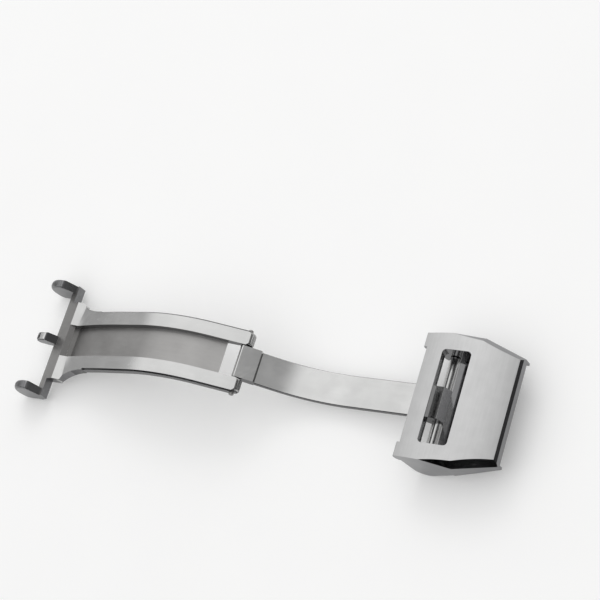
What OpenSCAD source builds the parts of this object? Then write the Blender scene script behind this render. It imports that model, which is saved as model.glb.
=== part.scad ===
// Folding clasp for a leather watch strap, drawn open, in millimetres.
// The wide blade carries the crossbar with its two hooks and the tang. The narrow blade folds
// into the wide blade's channel and carries the faceted buckle on a sprung strap bar.

/* [Outer blade] */
// Width over the two rails
blade_w = 11.4; // [9.5:0.1:13]
// Width of the channel between the rails
channel_w = 6.1; // [5:0.1:7.5]
// Thickness of the rails
rail_t = 1.65; // [1.45:0.05:2.2]
// Depth of the channel below the rails' outer face
channel_depth = 1.25; // [1.2:0.05:1.35]
// Straight stretch of both blades beside the middle hinge
lead_l = 6.6; // [5:0.1:8]
// Radius of the rails' outer face where the blades follow the wrist
bend_r = 25; // [20:0.5:35]
// Angle of that bend
bend_angle = 32; // [20:1:36]
// From the end of the bend to the crossbar's outer edge
outer_straight = 19.8; // [19.6:0.1:22]
// Gap between the hinge axis and the edge of the channel's floor
floor_gap = 3.35; // [3.3:0.05:4.5]
// Bevel along the rails' outer edges
rail_bevel = 0.25; // [0.1:0.05:0.4]

/* [Crossbar and hooks] */
// Length of the crossbar, across the strap
crossbar_l = 21.7; // [20.8:0.1:22]
// Width of the crossbar's top
crossbar_w = 2.3; // [1.8:0.1:2.6]
// Width of the crossbar's ends, beyond the blade's shoulders
crossbar_end_w = 1.2; // [0.8:0.1:1.3]
// Height of the crossbar above the rails
crossbar_rise = 0.8; // [0.4:0.1:1.2]
// Width of the blade's shoulders at the crossbar
shoulder_w = 16.8; // [14:0.1:17.4]
// Radius of the hollow curve that runs from the rail to the shoulder
shoulder_r = 9.3; // [6:0.1:12]
// Length of the ramp from the rail up to the crossbar
ramp_l = 1.6; // [1:0.1:2.2]
// Thickness of each hook, across the strap
hook_t = 1.4; // [1.1:0.1:1.8]
// Reach of the hooks beyond the crossbar
hook_reach = 5.5; // [5.2:0.1:6.2]
// Height of the hooks above the rails
hook_h = 2.35; // [2:0.05:2.8]
// Radius of the hooks' round ends
hook_r = 2.5; // [2.2:0.1:2.6]
// Thickness of the tang, across the strap
tang_t = 1.6; // [1.3:0.1:2.2]
// Reach of the tang beyond the crossbar
tang_reach = 4.1; // [3.8:0.1:5]
// Height of the tang above the rails
tang_h = 1.45; // [1.2:0.05:1.8]
// Radius of the tang's round end
tang_r = 1.05; // [0.9:0.05:1.2]

/* [Middle hinge] */
// Depth of the hinge axis below the rails' outer face
axis_depth = 1; // [0.95:0.05:1.1]
// Diameter of the hinge pin
pin_d = 0.9; // [0.7:0.05:1]
// Radius of the rails' round ends about the hinge axis
eye_r = 1.15; // [1.1:0.05:1.3]
// How far the hinge opens from fully closed, in degrees
fold_angle = 191.5; // [184:0.5:196]
// Running clearance of pins in their bores, on the radius
fit = 0.04; // [0.02:0.01:0.08]
// Gap that keeps folded faces apart
gap = 0.1; // [0.08:0.01:0.15]

/* [Inner blade] */
// Width of the blade
strip_w = 5.7; // [4.6:0.1:5.8]
// Thickness of the blade
strip_t = 1.05; // [0.8:0.05:1.1]
// Length of the hinge block, from the axis to its step
block_l = 3.15; // [2.5:0.05:3.2]
// Depth of the hinge block below the axis
block_drop = 0.8; // [0.75:0.05:0.9]
// Straight stretch from the end of the bend to the strap bar
inner_straight = 16; // [14.5:0.1:16]
// Height of the strap bar above the rails when folded
bar_rise = 1.2; // [1.15:0.05:1.5]
// Outside radius of the knuckle round the strap bar
knuckle_r = 1.45; // [1.3:0.05:1.5]

/* [Buckle] */
// Width of the strap that fits between the cheeks
strap_w = 18; // [17.6:0.1:18.2]
// Thickness of each cheek at its window end
cheek_t = 2.1; // [1.9:0.1:2.6]
// Length of the plate's top face
plate_l = 16.2; // [15:0.1:18]
// Radius of the crown on the plate's top face
crown_r = 28; // [24:1:60]
// Thickness of the plate beside the window
plate_t = 1.2; // [0.8:0.05:1.3]
// Width across the nose's lower edge
nose_w = 18.8; // [16:0.1:20]
// Where the sides begin to taper to the nose
taper_at = 9.7; // [9:0.1:12]
// Extra half width where the taper begins
side_flare = 0.5; // [0.3:0.1:0.7]
// Thickness of the block behind the nose, below the top face's ends
nose_t = 2.3; // [2:0.1:2.4]
// Depth of the cheeks' edge at the nose
nose_drop = 2.7; // [2.6:0.1:3.4]
// Distance from the plate's edge to the window
window_at = 3.1; // [2.4:0.1:3.6]
// Width of the window on the top face
window_w = 5.2; // [4:0.1:5.5]
// Length of the window, across the strap
window_l = 16.7; // [14:0.1:17.4]
// Radius of the window's corners
window_r = 0.7; // [0.3:0.1:1.2]
// How far the window's far wall slopes back under the plate
window_slope = 2.7; // [1.5:0.1:3]
// How far the corner tabs stand out
tab_l = 0.65; // [0.3:0.05:0.8]
// Length of each corner tab, across the strap
tab_w = 2.5; // [1.8:0.1:2.6]
// How far the plate turns while the clasp folds, in degrees
plate_turn = 18; // [12:1:24]

/* [Strap bar] */
// Distance of the bar from the plate's edge
bar_x = 3.8; // [3.7:0.05:4.4]
// Depth of the bar below the plate's edge
bar_z = 4.6; // [4.3:0.05:4.8]
// Diameter of the bar's tube
bar_d = 1.8; // [1.5:0.05:1.9]
// Wall of the tube
tube_wall = 0.28; // [0.2:0.02:0.32]
// Diameter of the sprung tips
tip_d = 0.8; // [0.6:0.05:0.9]
// How far a tip slides in
tip_travel = 1; // [0.8:0.05:1.05]
// Radius of the cheeks round the bar
boss_r = 2.2; // [2.1:0.05:2.7]

/* [Hidden] */
steel = [0.74, 0.74, 0.75];
bright_steel = [0.82, 0.82, 0.83];
spring_steel = [0.55, 0.56, 0.58];
// Reach of the cuts that pass right through
far = 60;
// Small set-backs that keep faces of neighbouring forms from lying in one plane
skin = 0.01;
bite = 0.005;
// How far a sweep runs past each end of the bend, in degrees
over = 0.1;
// Sides of a full circle
round_fn = 96;

half_blade = blade_w / 2;
half_channel = channel_w / 2;
half_strip = strip_w / 2;
half_crossbar = crossbar_l / 2;
half_shoulder = shoulder_w / 2;
half_strap = strap_w / 2;
half_plate = half_strap + cheek_t;
pin_r = pin_d / 2;
bar_r = bar_d / 2;
tip_r = tip_d / 2;
tube_bore_r = bar_r - tube_wall;

// The blades' frame: the hinge axis at the origin, x along the blade, z away from the wrist
bend_end = [lead_l + bend_r * sin(bend_angle), axis_depth - bend_r * (1 - cos(bend_angle))];
crossbar_x = outer_straight;
crossbar_in = crossbar_x - crossbar_w;
wall_slant = 0.4;
wall_foot = crossbar_in - wall_slant;
end_slope = [0.4, 1.5];
eye_overlap = 0.5;
edge_break = 0.12;
block_slant = 0.3;
block_overlap = 0.1;
block_start = block_l - block_slant;
block_side = 0.05;
knuckle_l = 3.4;
knuckle_lip = 0.6;
strip_top = -gap / 2;
strip_low = strip_top - strip_t;
pin_proud = 0.4;
pin_edge = 0.15;
pin_end = half_blade + pin_proud;

// The hooks' and the tang's round ends, measured from the end of the bend
hook_centre = [crossbar_x + hook_reach - hook_r, hook_h - hook_r];
hook_root = [crossbar_x - crossbar_end_w / 2, crossbar_rise];
hook_heel = [crossbar_x - crossbar_end_w / 2, -rail_t];
tang_centre = [crossbar_x + tang_reach - tang_r, tang_h - tang_r];
tang_root_top = crossbar_rise + 0.2;
tang_root_low = -0.75;
peg_r = 0.55;
peg_l = 1.6;
peg_bury = 0.3;

// The buckle's frame: the plate's edge at the origin, x to the nose, z out of the top face
bar = [bar_x, -bar_z];
crown = crown_r - sqrt(crown_r * crown_r - plate_l * plate_l / 4);
nose_bevel = [0.5, 0.9];
nose_slant = 0.4;
nose_x = plate_l + nose_bevel[0] + nose_slant;
window_far = window_at + window_w;
window_lip = 0.4;
slope_foot = window_far - window_slope;
slope_wall = [0.25, 0.6];
nose_bottom = -nose_t;
slope_bottom = nose_bottom + 0.6;
cheek_edge = [0, -0.5];
cheek_waist = [bar_x + 5.5, -nose_drop - 0.6];
cheek_brow = [nose_x - 4, -nose_drop - 0.4];
facet_corner = [taper_at, half_plate + side_flare, -0.15];
side_turn = 85;
side_slant = 36;
taper_turn = 67.5;
taper_slant = 35;

// The strap bar, measured along it from the middle
tube_end = half_strap - gap;
tube_lip = 0.25;
head_end = tube_end - tube_lip;
head_l = 2;
stub_root = 1;
spring_wire_r = 0.1;
spring_turns = 12;
spring_steps = 10;
spring_sides = 5;
spring_play = 0.06;
spring_end = head_end - head_l - spring_wire_r - skin;
spring_coil_r = tube_bore_r - spring_wire_r - spring_play;

// Turns a point [x, z] by an angle from x towards z
function turned(p, a) = [p[0] * cos(a) - p[1] * sin(a), p[0] * sin(a) + p[1] * cos(a)];
// Where a line from p all but touches the circle about c, on one side of it or the other
function touch(p, c, r, side) =
    let (d = norm(c - p), q = r - bite, a = atan2(c[1] - p[1], c[0] - p[0]) + side * asin(q / d))
    p + sqrt(d * d - q * q) * [cos(a), sin(a)];
// From the frame at the end of the bend to the blades' frame
function past_bend(p) = bend_end + turned(p, -bend_angle);
// From the buckle's frame to the blades' frame of the wide blade, with the clasp open
function on_buckle(p) =
    turned(past_bend([inner_straight, bar_rise]), fold_angle)
    + turned([bar[0] - p[0], p[1] - bar[1]], plate_turn - bend_angle);

// The open clasp stands on the hooks' and the cheeks' round ends
hook_foot = past_bend(hook_centre);
cheek_foot = on_buckle(bar);
foot_span = cheek_foot - hook_foot;
lead_rise = (atan2(foot_span[1], foot_span[0]) - 180) + asin((boss_r - hook_r) / norm(foot_span));
// From the wide blade's frame to the part's frame, before it is centred
function levelled(p) = [-p[0] * cos(lead_rise) - p[1] * sin(lead_rise),
                        -p[0] * sin(lead_rise) + p[1] * cos(lead_rise)];
hook_tip_x = levelled(hook_foot)[0] - hook_r;
nose_tip_x = max(levelled(on_buckle([nose_x, -nose_drop]))[0],
                 levelled(on_buckle([plate_l + nose_bevel[0], -nose_bevel[1]]))[0]);
hinge = [-(hook_tip_x + nose_tip_x) / 2, hook_r - levelled(hook_foot)[1]];

// Places a child drawn in the wide blade's frame
module on_outer() {
    translate([hinge[0], 0, hinge[1]])
        rotate([0, -lead_rise, 0])
        rotate([0, 0, 180])
        children();
}

// Places a child drawn in the narrow blade's frame
module on_inner() {
    on_outer() rotate([0, -fold_angle, 0]) children();
}

// Places a child drawn in the frame at the end of the bend
module at_bend_end() {
    translate([lead_l, 0, axis_depth - bend_r])
        rotate([0, bend_angle, 0])
        translate([0, 0, bend_r])
        children();
}

// Places a child drawn in the buckle's frame
module on_plate() {
    pivot = turned(past_bend([inner_straight, bar_rise]), fold_angle);
    on_outer()
        translate([pivot[0], 0, pivot[1]])
        rotate([0, bend_angle - plate_turn, 0])
        rotate([0, 0, 180])
        translate([-bar[0], 0, -bar[1]])
        children();
}

// Extrudes a side view, drawn in x and z, from one y to another
module across(from, to) {
    translate([0, to, 0]) rotate([90, 0, 0]) linear_extrude(to - from) children();
}

// Extrudes a side view to both sides of the middle
module both_sides(from, to) {
    across(from, to) children();
    across(-to, -from) children();
}

// A pin or bore along y
module cross_pin(r, from, to) {
    translate([0, from, 0]) rotate([-90, 0, 0]) cylinder(h = to - from, r = r, $fn = round_fn);
}

// Sweeps a cross-section, drawn below the rails' outer face, along the straight at the hinge
module along_lead(start) {
    translate([start, 0, axis_depth])
        rotate([90, 0, 90])
        linear_extrude(lead_l - start)
        children();
}

// Sweeps a cross-section round the bend, and a little into the straights at its ends
module round_bend() {
    translate([lead_l, 0, axis_depth - bend_r])
        rotate([0, -over, 0])
        rotate([-90, -90, 0])
        rotate_extrude(angle = bend_angle + 2 * over, $fn = 4 * round_fn)
        translate([bend_r, 0])
        rotate(-90)
        children();
}

// Sweeps a cross-section along the straight past the bend
module along_end(straight) {
    at_bend_end() rotate([90, 0, 90]) linear_extrude(straight) children();
}

// Cross-section of one rail
module rail_section() {
    polygon([[half_channel, 0], [half_blade - rail_bevel, 0], [half_blade, -rail_bevel],
             [half_blade, -rail_t + rail_bevel], [half_blade - rail_bevel, -rail_t],
             [half_channel, -rail_t]]);
}

// Cross-section of the two rails and the channel's floor, trimmed a little all round
module blade_section(trim) {
    side = half_blade - trim;
    bevel = side - rail_bevel;
    wall = half_channel + trim;
    top = -trim;
    low = trim - rail_t;
    floor_top = -channel_depth - trim;
    polygon([[wall, top], [bevel, top], [side, top - rail_bevel], [side, low + rail_bevel],
             [bevel, low], [-bevel, low], [-side, low + rail_bevel], [-side, top - rail_bevel],
             [-bevel, top], [-wall, top], [-wall, floor_top], [wall, floor_top]]);
}

// Side view of the rails' round ends about the hinge axis
module eye_profile() {
    intersection() {
        circle(r = eye_r, $fn = round_fn);
        translate([-far, -far]) square([2 * far, far + axis_depth]);
    }
    translate([0, axis_depth - rail_t]) square([eye_overlap, rail_t]);
}

// Plan of the shoulders, from the rails' width out to the crossbar
module shoulder_plan() {
    start = crossbar_in - sqrt(max(0.1, shoulder_r * shoulder_r
        - pow(shoulder_r - (half_shoulder - half_blade), 2)));
    difference() {
        translate([start, -half_shoulder]) square([crossbar_x - start - skin, shoulder_w]);
        for (side = [-1, 1])
            translate([start, side * (half_blade + shoulder_r)]) circle(r = shoulder_r, $fn = 2 * round_fn);
        translate([0, -half_channel]) square([wall_foot, channel_w]);
    }
}

// Crossbar with its ramps, drawn at the end of the bend
module crossbar() {
    end_in = crossbar_x - crossbar_end_w;
    across(-half_crossbar, half_crossbar)
        polygon([[end_in - end_slope[0], -rail_t], [end_in - end_slope[0], crossbar_rise - end_slope[1]],
                 [end_in, crossbar_rise], [crossbar_x, crossbar_rise], [crossbar_x, -rail_t]]);
    across(-half_shoulder, half_shoulder)
        polygon([[wall_foot, -rail_t], [wall_foot, -channel_depth], [crossbar_in, crossbar_rise],
                 [crossbar_x - skin, crossbar_rise], [crossbar_x - skin, -rail_t]]);
    both_sides(half_channel, half_shoulder)
        polygon([[crossbar_in - ramp_l, 0], [crossbar_in, crossbar_rise],
                 [crossbar_in + skin, -skin], [crossbar_in - ramp_l, -skin]]);
}

// Side view of a hook or tang: two straight flanks that touch a round end
module hook_profile(top, low, centre, r) {
    upper = touch(top, centre, r, 1);
    lower = touch(low, centre, r, -1);
    polygon([top, upper, centre, lower, low]);
    translate(centre) circle(r = r, $fn = round_fn);
}

// Wide blade, milled from one piece with its crossbar and hooks
module outer_blade() color(steel) on_outer() {
    difference() {
        union() {
            along_lead(0) {
                rail_section();
                mirror([1, 0]) rail_section();
            }
            along_lead(floor_gap) blade_section(0);
            round_bend() blade_section(bite);
            along_end(crossbar_x - skin) blade_section(0);
            both_sides(half_channel, half_blade - rail_bevel) eye_profile();
            at_bend_end() {
                translate([0, 0, -rail_t]) linear_extrude(rail_t) shoulder_plan();
                crossbar();
                both_sides(half_crossbar - hook_t, half_crossbar)
                    hook_profile(hook_root, hook_heel, hook_centre, hook_r);
            }
        }
        cross_pin(pin_r, -far, far);
        at_bend_end() translate([crossbar_x - peg_l, 0, 0]) rotate([0, 90, 0])
            cylinder(h = far, r = peg_r, $fn = round_fn);
    }
}

// Tang that goes through the strap's hole, pegged into the crossbar
module tang() color(steel) on_outer() at_bend_end() {
    across(-tang_t / 2, tang_t / 2)
        hook_profile([crossbar_x, tang_root_top], [crossbar_x, tang_root_low], tang_centre, tang_r);
    translate([crossbar_x - peg_l, 0, 0]) rotate([0, 90, 0])
        cylinder(h = peg_l + peg_bury, r = peg_r, $fn = round_fn);
}

// Pin of the middle hinge, held in the rails' eyes
module middle_hinge_pin() color(bright_steel) on_outer() {
    rotate([-90, 0, 0]) rotate_extrude($fn = round_fn)
        polygon([[0, -pin_end], [pin_r - pin_edge, -pin_end], [pin_r, -pin_end + pin_edge],
                 [pin_r, pin_end - pin_edge], [pin_r - pin_edge, pin_end], [0, pin_end]]);
}

// Cross-section of the narrow blade, trimmed a little all round
module strip_section(trim) {
    side = half_strip - trim;
    inner = side - edge_break;
    top = strip_top - trim;
    low = strip_low + trim;
    polygon([[-inner, top], [inner, top], [side, top - edge_break], [side, low + edge_break],
             [inner, low], [-inner, low], [-side, low + edge_break], [-side, top - edge_break]]);
}

// Side view of the block that turns between the rails' eyes
module block_profile() {
    top = axis_depth - gap / 2;
    overlap = block_start - block_overlap;
    intersection() {
        union() {
            circle(r = top, $fn = round_fn);
            translate([0, -block_drop]) square([block_start, top + block_drop]);
            polygon([[overlap, -block_drop], [block_start, -block_drop],
                     [block_l, top - strip_t], [block_l, top], [overlap, top]]);
        }
        translate([-far, -block_drop]) square([2 * far, far]);
    }
}

// Side view of the knuckle round the strap bar, drawn at the end of the bend
module knuckle_profile() {
    centre = [inner_straight, bar_rise];
    top = [inner_straight - knuckle_l, strip_top];
    low = [inner_straight + knuckle_lip, strip_low];
    polygon([top, touch(top, centre, knuckle_r, 1), centre, touch(low, centre, knuckle_r, -1), low,
             [top[0], low[1]]]);
    translate(centre) circle(r = knuckle_r, $fn = round_fn);
}

// Narrow blade, with its hinge block and the knuckle round the strap bar
module inner_blade() color(steel) on_inner() {
    difference() {
        union() {
            along_lead(block_start) strip_section(0);
            round_bend() strip_section(bite);
            along_end(inner_straight - knuckle_l + edge_break) strip_section(0);
            across(-half_strip - block_side, half_strip + block_side) block_profile();
            at_bend_end() across(-half_strip, half_strip) knuckle_profile();
        }
        cross_pin(pin_r + fit, -far, far);
        at_bend_end() translate([inner_straight, 0, bar_rise]) cross_pin(bar_r + fit, -far, far);
    }
}

// Side view of the buckle's whole outline
module buckle_profile() {
    left = touch(cheek_edge, bar, boss_r, -1);
    right = touch(cheek_waist, bar, boss_r, 1);
    intersection() {
        translate([plate_l / 2, crown - crown_r]) circle(r = crown_r, $fn = 4 * round_fn);
        translate([0, -2 * bar_z]) square([nose_x, 4 * bar_z]);
        polygon([[-bar_x, 2 * bar_z], [0, 0], cheek_edge, left, bar, right, cheek_waist, cheek_brow,
                 [nose_x, -nose_drop], [plate_l + nose_bevel[0], -nose_bevel[1]],
                 [plate_l, 0], [plate_l, 2 * bar_z]]);
    }
    translate(bar) circle(r = boss_r, $fn = round_fn);
}

// Plan of the buckle's lower edge
module buckle_plan() {
    wide = half_plate + side_flare;
    nose = nose_w / 2;
    polygon([[-bar_x, -half_plate], [0, -half_plate], [taper_at, -wide], [nose_x, -nose],
             [nose_x, nose], [taper_at, wide], [0, half_plate], [-bar_x, half_plate]]);
}

// Takes away all that lies beyond a plane through a point, facing a compass turn and a slant
module cut_beyond(point, turn, slant) {
    translate(point) rotate([0, -slant, turn]) translate([0, -far / 2, -far / 2]) cube(far);
}

// Space under the plate for the strap and the blade's end
module strap_space() {
    across(-half_strap, half_strap)
        polygon([[-far, -plate_t], [slope_foot + slope_wall[0], -plate_t],
                 [slope_foot + slope_wall[1], slope_bottom], [far, nose_bottom],
                 [far, -far], [-far, -far]]);
}

// Window through the plate, with a far wall that slopes back under it
module window_space() {
    intersection() {
        across(-window_l / 2, window_l / 2)
            polygon([[window_at, -bar_z], [window_at, bar_z], [window_far, bar_z],
                     [window_far, crown - window_lip], [slope_foot, slope_bottom],
                     [slope_foot, -bar_z]]);
        translate([window_at + window_r, -window_l / 2 + window_r, -bar_z])
            linear_extrude(2 * bar_z)
            for (turn = [0, 1])
                union() {
                    for (x = [0, window_w - 2 * window_r], y = [0, window_l - 2 * window_r])
                        translate([x, y]) circle(r = window_r, $fn = round_fn);
                    translate([-window_r * turn, -window_r * (1 - turn)])
                        square([window_w - 2 * window_r * (1 - turn), window_l - 2 * window_r * turn]);
                }
    }
}

// Faceted frame of the buckle: plate, nose block and two cheeks
module buckle_frame() color(bright_steel) on_plate() {
    difference() {
        union() {
            difference() {
                intersection() {
                    across(-2 * half_plate, 2 * half_plate) buckle_profile();
                    translate([0, 0, -far / 2]) linear_extrude(far) buckle_plan();
                }
                for (side = [-1, 1]) mirror([0, side < 0 ? 1 : 0, 0]) {
                    cut_beyond(facet_corner, side_turn, side_slant);
                    cut_beyond(facet_corner, taper_turn, taper_slant);
                }
            }
            both_sides(half_plate - tab_w, half_plate)
                translate([tab_l, -tab_l]) circle(r = 2 * tab_l, $fn = round_fn);
        }
        strap_space();
        window_space();
        for (side = [-1, 1])
            translate([bar[0], 0, bar[1]]) rotate([0, 0, side < 0 ? 180 : 0])
                cross_pin(tip_r + fit, half_strap - stub_root, half_strap + tip_travel);
    }
}

// Tube of the strap bar, with its ends closed in round the tips
module strap_bar_tube() color(bright_steel) on_plate() {
    translate([bar[0], 0, bar[1]]) difference() {
        cross_pin(bar_r, -tube_end, tube_end);
        cross_pin(tube_bore_r, -head_end, head_end);
        cross_pin(tip_r + fit, -far, far);
    }
}

// One sprung tip: a stub that sits in the cheek and a head that stays in the tube
module strap_bar_tip() {
    cross_pin(tip_r, head_end - skin, half_strap + tip_travel - gap);
    cross_pin(tube_bore_r - fit, head_end - head_l, head_end);
}

module strap_bar_tip_left() color(steel) on_plate() {
    translate([bar[0], 0, bar[1]]) strap_bar_tip();
}

module strap_bar_tip_right() color(steel) on_plate() {
    translate([bar[0], 0, bar[1]]) mirror([0, 1, 0]) strap_bar_tip();
}

// Coil spring between the two tips, as one unbroken wire
module strap_bar_spring() color(spring_steel) on_plate() {
    rings = spring_turns * spring_steps;
    points = [for (i = [0 : rings], j = [0 : spring_sides - 1])
        let (a = 360 * i / spring_steps, b = 360 * j / spring_sides,
             r = spring_coil_r + spring_wire_r * cos(b), y = spring_end * (2 * i / rings - 1))
        [r * cos(a), y + spring_wire_r * sin(b), r * sin(a)]];
    sides = [for (i = [0 : rings - 1], j = [0 : spring_sides - 1])
        let (k = (j + 1) % spring_sides, p = i * spring_sides, q = p + spring_sides)
        each [[p + j, q + j, q + k], [p + j, q + k, p + k]]];
    start = [for (j = [1 : spring_sides - 2]) [0, j, j + 1]];
    end = [for (j = [1 : spring_sides - 2])
        let (p = rings * spring_sides) [p, p + j + 1, p + j]];
    translate([bar[0], 0, bar[1]]) polyhedron(points, concat(sides, start, end));
}

outer_blade();
tang();
middle_hinge_pin();
inner_blade();
buckle_frame();
strap_bar_tube();
strap_bar_spring();
strap_bar_tip_left();
strap_bar_tip_right();
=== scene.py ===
import math

import bpy
from mathutils import Matrix, Vector


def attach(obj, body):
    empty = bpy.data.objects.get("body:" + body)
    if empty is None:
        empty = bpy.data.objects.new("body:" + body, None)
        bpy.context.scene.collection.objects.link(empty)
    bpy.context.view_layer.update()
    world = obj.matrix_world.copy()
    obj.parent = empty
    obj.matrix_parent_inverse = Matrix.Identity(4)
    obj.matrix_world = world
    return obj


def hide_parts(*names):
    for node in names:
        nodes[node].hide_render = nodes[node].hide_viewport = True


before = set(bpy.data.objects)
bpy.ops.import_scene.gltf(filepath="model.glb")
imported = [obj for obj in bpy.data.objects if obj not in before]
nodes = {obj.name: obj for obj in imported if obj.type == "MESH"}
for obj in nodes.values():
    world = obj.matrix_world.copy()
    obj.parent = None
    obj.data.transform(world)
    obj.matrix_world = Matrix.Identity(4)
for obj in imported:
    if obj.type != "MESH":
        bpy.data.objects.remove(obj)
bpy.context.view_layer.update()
mm = 0.001
whole = (0.0, 1.0)  # the full range of a mask or a noise


def clearSelection():
    bpy.ops.object.select_all(action="DESELECT")


def pick(obj):
    clearSelection()
    obj.select_set(True)
    bpy.context.view_layer.objects.active = obj


def newMaterial(name):
    material = bpy.data.materials.new(name)
    material.use_nodes = True
    tree = material.node_tree
    return material, tree, tree.nodes["Principled BSDF"]


def link(tree, start, end):
    tree.links.new(start, end)


def noiseFrom(tree, vector, scale, detail):
    # detail holds the number of octaves and how strong the finer ones are
    noise = tree.nodes.new("ShaderNodeTexNoise")
    noise.inputs["Scale"].default_value = scale
    noise.inputs["Detail"].default_value = detail[0]
    noise.inputs["Roughness"].default_value = detail[1]
    link(tree, vector, noise.inputs["Vector"])
    return noise.outputs["Fac"]


def stretched(tree, vector, turn, stretch):
    # grain runs along X of the turned pattern, so that axis is squeezed
    mapping = tree.nodes.new("ShaderNodeMapping")
    mapping.vector_type = "TEXTURE"
    mapping.inputs["Rotation"].default_value = turn
    mapping.inputs["Scale"].default_value = stretch
    link(tree, vector, mapping.inputs["Vector"])
    return mapping.outputs["Vector"]


def ranged(tree, value, edges, levels):
    node = tree.nodes.new("ShaderNodeMapRange")
    node.inputs["From Min"].default_value = edges[0]
    node.inputs["From Max"].default_value = edges[1]
    node.inputs["To Min"].default_value = levels[0]
    node.inputs["To Max"].default_value = levels[1]
    link(tree, value, node.inputs["Value"])
    return node.outputs["Result"]


def combined(tree, operation, first, second):
    node = tree.nodes.new("ShaderNodeMath")
    node.operation = operation
    link(tree, first, node.inputs[0])
    link(tree, second, node.inputs[1])
    return node.outputs["Value"]


def added(tree, first, second):
    return combined(tree, "ADD", first, second)


def times(tree, first, second):
    return combined(tree, "MULTIPLY", first, second)


def steelFinish(look):
    material, tree, shader = newMaterial(look["name"])
    place = tree.nodes.new("ShaderNodeTexCoord").outputs["Object"]
    shader.inputs["Metallic"].default_value = 1.0

    # brushing: very long thin noise along the grain
    grainPlace = stretched(tree, place, look["grainTurn"], look["grainStretch"])
    grain = noiseFrom(tree, grainPlace, look["grainScale"], look["grainDetail"])
    # handling: soft patches where fingers and cloths have dulled the polish
    patches = noiseFrom(tree, place, look["patchScale"], look["patchDetail"])
    # hairlines: sparse thin scratches across the grain
    hairPlace = stretched(tree, place, look["hairTurn"], look["hairStretch"])
    hair = noiseFrom(tree, hairPlace, look["hairScale"], look["hairDetail"])
    hairMask = ranged(tree, hair, look["hairEdges"], whole)

    roughLevels = (look["rough"] - look["roughGrain"], look["rough"] + look["roughGrain"])
    rough = ranged(tree, grain, look["grainEdges"], roughLevels)
    rough = added(tree, rough, ranged(tree, patches, look["patchEdges"], (0.0, look["roughPatch"])))
    rough = added(tree, rough, ranged(tree, hairMask, whole, (0.0, look["roughHair"])))
    link(tree, rough, shader.inputs["Roughness"])

    ramp = tree.nodes.new("ShaderNodeValToRGB")
    tones = zip(ramp.color_ramp.elements, (look["dark"], look["light"]), look["tintEdges"])
    for element, color, position in tones:
        element.color = (*color, 1.0)
        element.position = position
    tint = added(tree, ranged(tree, grain, whole, (0.0, look["tintGrain"])),
                 ranged(tree, patches, whole, (0.0, 1.0 - look["tintGrain"])))
    link(tree, tint, ramp.inputs["Fac"])
    link(tree, ramp.outputs["Color"], shader.inputs["Base Color"])

    height = added(tree, grain, ranged(tree, hairMask, whole, (0.0, -look["hairDepth"])))
    bump = tree.nodes.new("ShaderNodeBump")
    bump.inputs["Strength"].default_value = look["bump"]
    bump.inputs["Distance"].default_value = look["bumpDepth"]
    link(tree, height, bump.inputs["Height"])
    link(tree, bump.outputs["Normal"], shader.inputs["Normal"])
    return material


polishedLook = {
    "name": "polished_steel",
    "dark": (0.50, 0.50, 0.495), "light": (0.60, 0.60, 0.595),
    "rough": 0.17, "roughGrain": 0.02, "roughPatch": 0.06, "roughHair": 0.08,
    "grainTurn": (0.0, 0.0, 0.0), "grainStretch": (0.03, 0.0012, 0.0012),
    "grainScale": 1.0, "grainDetail": (6.0, 0.65), "grainEdges": (0.3, 0.7),
    "patchScale": 160.0, "patchDetail": (3.0, 0.5), "patchEdges": (0.35, 0.7),
    "hairTurn": (0.2, 0.3, 0.9), "hairStretch": (0.02, 0.0006, 0.0006),
    "hairScale": 1.0, "hairDetail": (2.0, 0.5), "hairEdges": (0.66, 0.74), "hairDepth": 0.4,
    "tintGrain": 0.3, "tintEdges": (0.3, 0.7), "bump": 0.04, "bumpDepth": 0.00004,
}
# the channel floor and the hinge pin: a real rougher satin, with a darker base colour that is painted
# shade of the recess
channelShadeLook = dict(
    polishedLook, name="channel_satin_painted_shade",
    dark=(0.29, 0.285, 0.28), light=(0.37, 0.365, 0.36),
    rough=0.34, roughGrain=0.04, roughPatch=0.08,
    grainStretch=(0.012, 0.0005, 0.0005), bump=0.2, bumpDepth=0.00003,
)
narrowLook = dict(
    polishedLook, name="narrow_blade_steel",
    rough=0.15, patchScale=220.0,
)
plateLook = dict(
    polishedLook, name="plate_satin",
    dark=(0.44, 0.44, 0.44), light=(0.52, 0.52, 0.52),
    rough=0.33, roughGrain=0.04, roughPatch=0.05, roughHair=0.05,
    grainTurn=(0.0, 0.0, math.pi / 2), grainStretch=(0.008, 0.0004, 0.0004),
    patchScale=420.0, bump=0.25, bumpDepth=0.00003, tintGrain=0.5,
)
# the buckle's sides and nose: a real mirror polish, with a dark base colour that is painted shade
facetShadeLook = dict(
    polishedLook, name="facet_polish_painted_shade",
    dark=(0.18, 0.18, 0.185), light=(0.24, 0.24, 0.245),
    rough=0.07, roughGrain=0.01, roughPatch=0.04, bump=0.02,
)
# painted shade: steel with a dark base colour for the sides, the hooks and the narrow blade's knuckle
# back, standing in for their shaded reflections
sideShadeLook = dict(
    polishedLook, name="side_painted_shade",
    dark=(0.17, 0.17, 0.175), light=(0.24, 0.24, 0.245),
    rough=0.26, bump=0.08,
)
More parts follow.
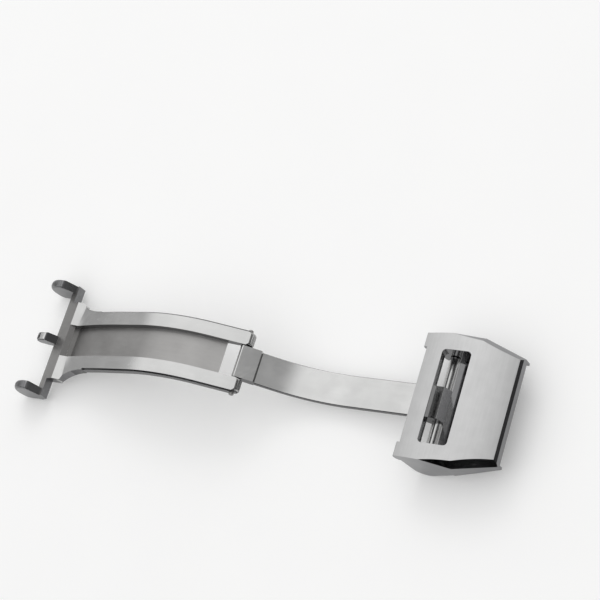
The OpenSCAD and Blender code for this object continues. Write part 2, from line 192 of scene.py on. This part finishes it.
# painted shade: near-black steel for the channel walls, the rail ends, the tang's back flank and the
# narrow blade's sides
deepShadeLook = dict(
    polishedLook, name="deep_painted_shade",
    dark=(0.07, 0.07, 0.072), light=(0.12, 0.12, 0.122),
    rough=0.2, bump=0.05,
)
wireLook = dict(
    polishedLook, name="spring_wire_steel",
    dark=(0.36, 0.36, 0.37), light=(0.46, 0.46, 0.47), rough=0.3,
    grainStretch=(0.001, 0.0001, 0.0001), bump=0.15,
)
polished = steelFinish(polishedLook)
channelSatinShade = steelFinish(channelShadeLook)
narrowSteel = steelFinish(narrowLook)
plateSatin = steelFinish(plateLook)
facetPolishShade = steelFinish(facetShadeLook)
sideShade = steelFinish(sideShadeLook)
deepShade = steelFinish(deepShadeLook)
wireSteel = steelFinish(wireLook)
print("finishes made")


# each steel piece is a welded copy of its CAD node, with its edges broken

def weldDoubles(part):
    bpy.ops.mesh.select_all(action="SELECT")
    bpy.ops.mesh.remove_doubles(threshold=part["weld"])


def weldedCopy(part):
    pick(nodes[part["node"]])
    bpy.ops.object.duplicate()
    piece = bpy.context.active_object
    piece.name = part["name"]
    piece.data.name = part["name"]
    piece.data.materials.clear()
    bpy.ops.mesh.customdata_custom_splitnormals_clear()
    bpy.ops.object.mode_set(mode="EDIT")
    weldDoubles(part)
    bpy.ops.mesh.mark_sharp(clear=True)
    bpy.ops.mesh.dissolve_limited(angle_limit=math.radians(part["flatness"]))
    bpy.ops.object.mode_set(mode="OBJECT")
    return piece


def breakEdges(piece, part):
    pick(piece)
    edges = piece.modifiers.new("broken_edges", "BEVEL")
    edges.width = part["edge"]
    edges.segments = part["edgeSteps"]
    edges.limit_method = "ANGLE"
    edges.angle_limit = math.radians(part["edgeAngle"])
    edges.miter_outer = "MITER_ARC"
    bpy.ops.object.modifier_apply(modifier="broken_edges")
    bpy.ops.object.shade_smooth_by_angle(angle=math.radians(part["smooth"]))
    # wide faces keep their own normals, so only the broken edges look round
    normals = piece.modifiers.new("face_normals", "WEIGHTED_NORMAL")
    normals.mode = "FACE_AREA"
    normals.weight = part["faceWeight"]
    normals.keep_sharp = True
    bpy.ops.object.modifier_apply(modifier="face_normals")


def joinBody(piece, part):
    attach(piece, part["body"])
    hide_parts(part["node"])


def finishFaces(piece, finishes, choose=None):
    # choose gives one of the finishes or painted shades for a face's place in mm and its normal
    for finish in finishes:
        piece.data.materials.append(finish)
    for face in piece.data.polygons:
        if choose:
            face.material_index = finishes.index(choose(face.center / mm, face.normal))


def plainPiece(part, finish):
    # a round piece of a hinge, with one finish all over
    piece = weldedCopy(part)
    breakEdges(piece, part)
    joinBody(piece, part)
    finishFaces(piece, [finish])


def roundEdges(piece, wanted, part):
    pick(piece)
    bpy.ops.object.mode_set(mode="EDIT")
    bpy.ops.mesh.select_all(action="DESELECT")
    bpy.ops.object.mode_set(mode="OBJECT")
    for edge in piece.data.edges:
        one, two = [piece.data.vertices[i].co / mm for i in edge.vertices]
        edge.select = abs(one.y - two.y) < part["level"] and wanted(one, two)
    bpy.ops.object.mode_set(mode="EDIT")
    bpy.ops.mesh.select_mode(type="EDGE")
    bpy.ops.mesh.bevel(offset=part["round"] * mm, segments=part["roundSteps"], affect="EDGES")
    bpy.ops.mesh.select_mode(type="VERT")
    bpy.ops.object.mode_set(mode="OBJECT")


# weld and edge are in metres, level and round in mm, angles in degrees; a face whose
# normal leans across the strap by more than sideTurn is a side, and an edge whose ends
# differ across the strap by less than level may belong to a rim
steelEdges = {
    "weld": 0.012 * mm, "flatness": 0.6,
    "edge": 0.07 * mm, "edgeAngle": 25.0, "edgeSteps": 2, "smooth": 50.0, "faceWeight": 100,
    "sideTurn": 0.6, "level": 0.01, "roundSteps": 4,
}

# the wide blade's end in mm, as seen along its last straight stretch: first along, then up
bladeEnd = {
    "x": -22.125, "z": 9.687, "tilt": math.radians(17.998), "loops": (6.0, 8.0, 10.0, 12.0, 14.0, 15.8),
    "dropStart": 5.5, "drop": 0.0072, "footLevel": 0.08,
    "barFace": (19.7, 19.9), "barOut": 0.9, "upperFrom": 0.5,
    "ramp": (15.85, 16.1), "rampOut": 0.45, "rampFrom": -0.5, "ridge": (17.4, 17.6), "ridgeOut": 0.3,
    "shoulder": (5.7, 8.45), "shoulderTip": 8.35, "shoulderFlare": 0.68,
    "barEnd": (18.0, 18.8), "barEndOut": 0.6, "barEndLowOut": 1.15, "heelTop": -1.5, "heelUp": 0.6,
    "hookInside": 9.40, "hookFace": 9.70, "hookIn": 0.2, "hookRoot": (19.0, 19.7), "hookRootOut": 0.55,
    "hookStart": 20.0, "hookCentre": (22.8, -0.15), "hookSwell": 1.12, "hookBulge": 0.25,
    "hookShift": (-0.85, 0.1),
}


def toEnd(point):
    x = point.x / mm - bladeEnd["x"]
    z = point.z / mm - bladeEnd["z"]
    c, s = math.cos(bladeEnd["tilt"]), math.sin(bladeEnd["tilt"])
    return -x * c - z * s, -x * s + z * c


def fromEnd(along, up):
    c, s = math.cos(bladeEnd["tilt"]), math.sin(bladeEnd["tilt"])
    return (bladeEnd["x"] - along * c - up * s) * mm, (bladeEnd["z"] - along * s + up * c) * mm


def within(value, ends):
    return ends[0] < value < ends[1]


def addLoops(piece, places):
    pick(piece)
    c, s = math.cos(bladeEnd["tilt"]), math.sin(bladeEnd["tilt"])
    bpy.ops.object.mode_set(mode="EDIT")
    for along in places:
        x, z = fromEnd(along, 0.0)
        bpy.ops.mesh.select_all(action="SELECT")
        bpy.ops.mesh.bisect(plane_co=(x, 0.0, z), plane_no=(-c, 0.0, -s))
    bpy.ops.object.mode_set(mode="OBJECT")


def hookPoint(along, up):
    # a hook's round end swells, and bulges at its lower outer quarter
    centre = bladeEnd["hookCentre"]
    turn = math.atan2(up - centre[1], along - centre[0])
    reach = math.hypot(up - centre[1], along - centre[0]) * bladeEnd["hookSwell"]
    if -math.pi / 2 < turn < 0.0:
        reach += bladeEnd["hookBulge"] * math.sin(2 * turn) ** 2
    return (centre[0] + reach * math.cos(turn) + bladeEnd["hookShift"][0],
            centre[1] + reach * math.sin(turn) + bladeEnd["hookShift"][1])


def outwards(along, up, reach):
    # how far a point of the ramp, the crossbar or a hook's root moves outwards
    if reach > bladeEnd["hookInside"] and within(along, bladeEnd["hookRoot"]):
        return bladeEnd["hookRootOut"]
    if reach > bladeEnd["shoulderTip"] and within(along, bladeEnd["barEnd"]):
        return bladeEnd["barEndOut"] if up > bladeEnd["upperFrom"] else bladeEnd["barEndLowOut"]
    if within(reach, (bladeEnd["shoulder"][0], bladeEnd["shoulderTip"])):
        return 0.0
    if within(along, bladeEnd["ramp"]) and up > bladeEnd["rampFrom"]:
        return bladeEnd["rampOut"]
    if within(along, bladeEnd["ridge"]) and up > bladeEnd["upperFrom"]:
        return bladeEnd["ridgeOut"]
    if within(along, bladeEnd["barFace"]):
        return bladeEnd["barOut"]
    return 0.0


def barPoint(along, up, reach):
    # the blade goes on curving to its crossbar, whose ends have a raised heel
    newUp = up - bladeEnd["drop"] * max(0.0, along - bladeEnd["dropStart"]) ** 2
    if reach > bladeEnd["shoulderTip"] and up < bladeEnd["heelTop"] and along > bladeEnd["barEnd"][0]:
        newUp += bladeEnd["heelUp"]
    return along + outwards(along, up, reach), newUp


wideBlade = dict(
    steelEdges, node="outer_blade", name="wide_blade", body="outer", slot="blade_steel",
    round=0.4, eyeX=-2.189, eyeZ=7.601, eye=1.15, eyeSlack=0.05,
    innerWalls=6.0, endTurn=0.88, endFrom=-4.0,
    tips=7.6, tipsTo=-39.0, channelHalf=3.06, floorTurn=0.7,
)
hookPart = dict(wideBlade, round=0.6, rimSide=9.0, rimFrom=20.75, rimTop=1.5)
wide = weldedCopy(wideBlade)
addLoops(wide, bladeEnd["loops"])
for vertex in wide.data.vertices:
    along, up = toEnd(vertex.co)
    if along < bladeEnd["dropStart"] or vertex.co.x > bladeEnd["x"] * mm:
        continue
    reach = abs(vertex.co.y) / mm
    if reach > bladeEnd["hookInside"] and along > bladeEnd["hookStart"]:
        along, up = hookPoint(along, up)
        if reach < bladeEnd["hookFace"]:
            vertex.co.y -= math.copysign(bladeEnd["hookIn"] * mm, vertex.co.y)
    else:
        along, up = barPoint(along, up, reach)
        if within(reach, bladeEnd["shoulder"]):
            waist = bladeEnd["shoulder"][0]
            reach = waist + (reach - waist) * bladeEnd["shoulderFlare"]
            vertex.co.y = math.copysign(reach * mm, vertex.co.y)
    vertex.co.x, vertex.co.z = fromEnd(along, up)
    vertex.co.z = max(vertex.co.z, bladeEnd["footLevel"] * mm)


def hookRim(one, two):
    # rims run round each side of a hook's round end
    for point in (one, two):
        along, up = toEnd(point * mm)
        onTop = along > bladeEnd["hookStart"] and up > hookPart["rimTop"]
        if abs(point.y) < hookPart["rimSide"] or not (along > hookPart["rimFrom"] or onTop):
            return False
    return True


def railRim(one, two):
    # rims run round each side of a rail's round hinge end
    away = [math.hypot(point.x - wideBlade["eyeX"], point.z - wideBlade["eyeZ"]) for point in (one, two)]
    slack = wideBlade["eyeSlack"]
    return min(away) > wideBlade["eye"] - slack and max(away) < wideBlade["eye"] + slack


# painted shade: channel walls and rail ends get near-black steel, sides and hook tips dark steel, the
# channel floor satin with painted shade; the rest is polished
def wideFinishAndShade(at, normal):
    side = abs(normal.y) > wideBlade["sideTurn"]
    channelWall = side and abs(at.y) < wideBlade["innerWalls"]
    railEnd = normal.x > wideBlade["endTurn"] and at.x > wideBlade["endFrom"]
    if channelWall or railEnd:
        return deepShade
    if side or abs(at.y) > wideBlade["tips"] and at.x < wideBlade["tipsTo"]:
        return sideShade
    channelFloor = abs(at.y) < wideBlade["channelHalf"] and normal.z > wideBlade["floorTurn"]
    return channelSatinShade if channelFloor and at.x < wideBlade["endFrom"] else polished


roundEdges(wide, hookRim, hookPart)
roundEdges(wide, railRim, wideBlade)
breakEdges(wide, wideBlade)
joinBody(wide, wideBlade)
finishFaces(wide, [polished, channelSatinShade, sideShade, deepShade], wideFinishAndShade)

tangPart = dict(
    steelEdges, node="tang", name="strap_tang", body="outer", slot="blade_steel",
    rootEnd=20.15, rootTop=(20.3, -0.55), rootLow=(20.3, -1.75), pegHalf=0.6, pegDrop=-1.3,
    crest=(21.5, 1.4), crestTo=22.65, crestFrom=1.0, round=0.35, rimFrom=21.0, backTurn=0.3,
)
tang = weldedCopy(tangPart)
# the tang leans with the crossbar, and its peg goes down with it
for vertex in tang.data.vertices:
    along, up = toEnd(vertex.co)
    if along > tangPart["rootEnd"]:
        if along < tangPart["crestTo"] and up > tangPart["crestFrom"]:
            along, up = tangPart["crest"]
    elif abs(up) < tangPart["pegHalf"]:
        up += tangPart["pegDrop"]
    else:
        along, up = tangPart["rootTop"] if up > 0.0 else tangPart["rootLow"]
    vertex.co.x, vertex.co.z = fromEnd(along, up)


def tangRim(one, two):
    return min(toEnd(one * mm)[0], toEnd(two * mm)[0]) > tangPart["rimFrom"]


# painted shade: the back flank gets near-black steel and the sides dark steel; the rest is polished
def tangFinishAndShade(at, normal):
    if normal.x > tangPart["backTurn"]:
        return deepShade
    return sideShade if abs(normal.y) > tangPart["sideTurn"] else polished


roundEdges(tang, tangRim, tangPart)
breakEdges(tang, tangPart)
joinBody(tang, tangPart)
finishFaces(tang, [polished, deepShade, sideShade], tangFinishAndShade)

hingePin = dict(steelEdges, node="middle_hinge_pin", name="hinge_pin", body="outer", slot="pin_steel")
plainPiece(hingePin, channelSatinShade)

narrowBlade = dict(
    steelEdges, node="inner_blade", name="narrow_blade", body="inner", slot="blade_steel",
    knuckleFrom=31.6, knuckleTurn=0.3,
)
narrow = weldedCopy(narrowBlade)


# painted shade: the sides get near-black steel and the knuckle's back dark steel; the rest is polished
def narrowFinishAndShade(at, normal):
    if abs(normal.y) > narrowBlade["sideTurn"]:
        return deepShade
    onKnuckle = at.x > narrowBlade["knuckleFrom"] and normal.x > narrowBlade["knuckleTurn"]
    return sideShade if onKnuckle else narrowSteel


breakEdges(narrow, narrowBlade)
joinBody(narrow, narrowBlade)
finishFaces(narrow, [narrowSteel, deepShade, sideShade], narrowFinishAndShade)

# the buckle's places in mm are measured from the plate's edge at the window end
buckle = dict(
    steelEdges, node="buckle_frame", name="buckle_body", body="buckle", slot="buckle_steel", smooth=20.0,
    edgeX=29.163, edgeZ=6.8, plateL=16.2, crownR=28.0, crown=1.197, tabFrom=8.55, tabTo=2.5,
    chamfer=(16.66, -0.55, 9.08), chamferFrom=(0.3, -1.2), topFrom=6.0, topTurn=0.9,
)
buckleBody = weldedCopy(buckle)
# the corner tabs lie flush with the crowned top, and the nose has a flatter chamfer
for vertex in buckleBody.data.vertices:
    out = vertex.co.x / mm - buckle["edgeX"]
    up = vertex.co.z / mm - buckle["edgeZ"]
    if abs(vertex.co.y) > buckle["tabFrom"] * mm and out < buckle["tabTo"]:
        crest = buckle["crown"] - buckle["crownR"] + math.sqrt(
            buckle["crownR"] ** 2 - (out - buckle["plateL"] / 2) ** 2)
        up = min(up, crest)
    if out > buckle["plateL"] + buckle["chamferFrom"][0] and up > buckle["chamferFrom"][1]:
        out, up, side = buckle["chamfer"]
        vertex.co.y = math.copysign(side * mm, vertex.co.y)
    vertex.co.x = (out + buckle["edgeX"]) * mm
    vertex.co.z = (up + buckle["edgeZ"]) * mm
pick(buckleBody)
bpy.ops.object.mode_set(mode="EDIT")
weldDoubles(buckle)
bpy.ops.object.mode_set(mode="OBJECT")
breakEdges(buckleBody, buckle)
joinBody(buckleBody, buckle)


def onTop(at, normal):
    return normal.z > buckle["topTurn"] and at.z > buckle["topFrom"]


# the crowned top is one smooth sweep, so its normals come from the crown's circle
crownX = buckle["edgeX"] + buckle["plateL"] / 2
crownZ = buckle["edgeZ"] + buckle["crown"] - buckle["crownR"]
cornerNormals = [tuple(corner.vector) for corner in buckleBody.data.corner_normals]
for face in buckleBody.data.polygons:
    centre = face.center / mm
    if onTop(centre, face.normal) and centre.x < buckle["edgeX"] + buckle["plateL"]:
        for corner in face.loop_indices:
            at = buckleBody.data.vertices[buckleBody.data.loops[corner].vertex_index].co
            sweep = Vector((at.x / mm - crownX, 0.0, at.z / mm - crownZ)).normalized()
            cornerNormals[corner] = tuple(sweep)
buckleBody.data.normals_split_custom_set(cornerNormals)
# the crowned top gets the satin finish, every other face the polished steel with painted shade
finishFaces(buckleBody, [facetPolishShade, plateSatin],
            lambda at, normal: plateSatin if onTop(at, normal) else facetPolishShade)

barTube = dict(steelEdges, node="strap_bar_tube", name="bar_tube", body="buckle", slot="pin_steel")
plainPiece(barTube, polished)
for side in ("left", "right"):
    barTip = dict(steelEdges, node="strap_bar_tip_" + side, name="bar_tip_" + side,
                  body="tip_" + side, slot="pin_steel")
    plainPiece(barTip, polished)

for materialSlot in nodes["strap_bar_spring"].material_slots:
    materialSlot.material = wireSteel
print("steel pieces made")


floorLook = {
    "half": 3.0, "color": (0.80, 0.80, 0.797), "glow": 0.20,
    "grain": 0.02, "grainScale": 60.0, "grainDetail": (3.0, 0.5), "rough": 0.9,
}
clearSelection()
bpy.ops.mesh.primitive_plane_add(size=2 * floorLook["half"], location=(0.0, 0.0, 0.0))
floor = bpy.context.active_object
floor.name = "floor"
floorPaper, floorTree, floorShader = newMaterial("floor_paper")
floorShader.inputs["Roughness"].default_value = floorLook["rough"]
floorShader.inputs["Specular IOR Level"].default_value = 0.0
floorPlace = floorTree.nodes.new("ShaderNodeTexCoord").outputs["Object"]
paper = noiseFrom(floorTree, floorPlace, floorLook["grainScale"], floorLook["grainDetail"])
paperRamp = floorTree.nodes.new("ShaderNodeValToRGB")
paperRamp.color_ramp.elements[0].color = (*[c - floorLook["grain"] for c in floorLook["color"]], 1.0)
paperRamp.color_ramp.elements[1].color = (*floorLook["color"], 1.0)
link(floorTree, paper, paperRamp.inputs["Fac"])
link(floorTree, paperRamp.outputs["Color"], floorShader.inputs["Base Color"])
# the same pale glow for the eye, for mirrors and for glass
rays = floorTree.nodes.new("ShaderNodeLightPath")
seen = added(floorTree, rays.outputs["Is Camera Ray"], rays.outputs["Is Glossy Ray"])
seen = added(floorTree, seen, rays.outputs["Is Transmission Ray"])
glow = ranged(floorTree, seen, whole, (0.0, floorLook["glow"]))
floorShader.inputs["Emission Color"].default_value = (1.0, 1.0, 1.0, 1.0)
link(floorTree, glow, floorShader.inputs["Emission Strength"])
floor.data.materials.append(floorPaper)

# levels of the room's light, and the directions between which it changes
studio = {
    "box": 1.18, "room": 0.5, "right": 0.12, "dark": 0.004,
    "boxLeft": (-0.93, -0.72), "boxRight": (0.12, 0.40), "boxLow": (0.10, 0.45),
    "roomRight": (0.30, 0.95), "roomFront": (-0.80, -0.15), "roomLow": (0.20, 0.55),
}
world = bpy.data.worlds.new("studio")
bpy.context.scene.world = world
world.use_nodes = True
worldTree = world.node_tree
background = worldTree.nodes["Background"]
direction = worldTree.nodes.new("ShaderNodeTexCoord").outputs["Generated"]
split = worldTree.nodes.new("ShaderNodeSeparateXYZ")
link(worldTree, direction, split.inputs["Vector"])


def softStep(axis, edges, levels=whole):
    result = ranged(worldTree, split.outputs[axis], edges, levels)
    result.node.interpolation_type = "SMOOTHSTEP"
    return result


fading = (1.0, 0.0)
boxMask = times(worldTree, softStep("X", studio["boxLeft"]), softStep("X", studio["boxRight"], fading))
boxMask = times(worldTree, boxMask, softStep("Z", studio["boxLow"]))
# the room darkens to the front and the right, but only low down
low = softStep("Z", studio["roomLow"], fading)
lowFront = times(worldTree, softStep("Y", studio["roomFront"], fading), low)
lowRight = times(worldTree, softStep("X", studio["roomRight"]), low)
frontShade = ranged(worldTree, lowFront, whole, (1.0, studio["dark"]))
rightShade = ranged(worldTree, lowRight, whole, (studio["room"], studio["right"]))
roomLevel = times(worldTree, rightShade, frontShade)
boxShade = times(worldTree, boxMask, frontShade)
boxLevel = ranged(worldTree, boxShade, whole, (0.0, studio["box"] - studio["room"]))
link(worldTree, added(worldTree, roomLevel, boxLevel), background.inputs["Strength"])
background.inputs["Color"].default_value = (1.0, 1.0, 1.0, 1.0)

lampLook = {"place": (-0.20, 0.56, 0.54), "size": 0.3, "power": 0.7}
lampData = bpy.data.lights.new("back_softbox", "AREA")
lampData.shape = "SQUARE"
lampData.size = lampLook["size"]
lampData.energy = lampLook["power"]
lamp = bpy.data.objects.new("back_softbox", lampData)
bpy.context.collection.objects.link(lamp)
lamp.location = lampLook["place"]
lamp.rotation_euler = (-lamp.location).to_track_quat("-Z", "Y").to_euler()

view = {
    "place": (0.1319517, -0.0973032, 0.2827844),
    "right": (0.908556, 0.284766, -0.305670),
    "up": (-0.138366, 0.895506, 0.422995),
    "forward": (-0.394184, 0.342020, -0.853019),
    "lens": 112.66, "sensor": 36.0, "clipStart": 0.01,
}
cameraData = bpy.data.cameras.new("camera")
cameraData.sensor_width = view["sensor"]
cameraData.lens = view["lens"]
cameraData.clip_start = view["clipStart"]
camera = bpy.data.objects.new("camera", cameraData)
bpy.context.collection.objects.link(camera)
back = [-c for c in view["forward"]]
camera.matrix_world = Matrix([
    [view["right"][i], view["up"][i], back[i], view["place"][i]] for i in range(3)
] + [[0.0, 0.0, 0.0, 1.0]])
bpy.context.scene.camera = camera
bpy.context.scene.view_settings.view_transform = "Standard"
print("studio set")
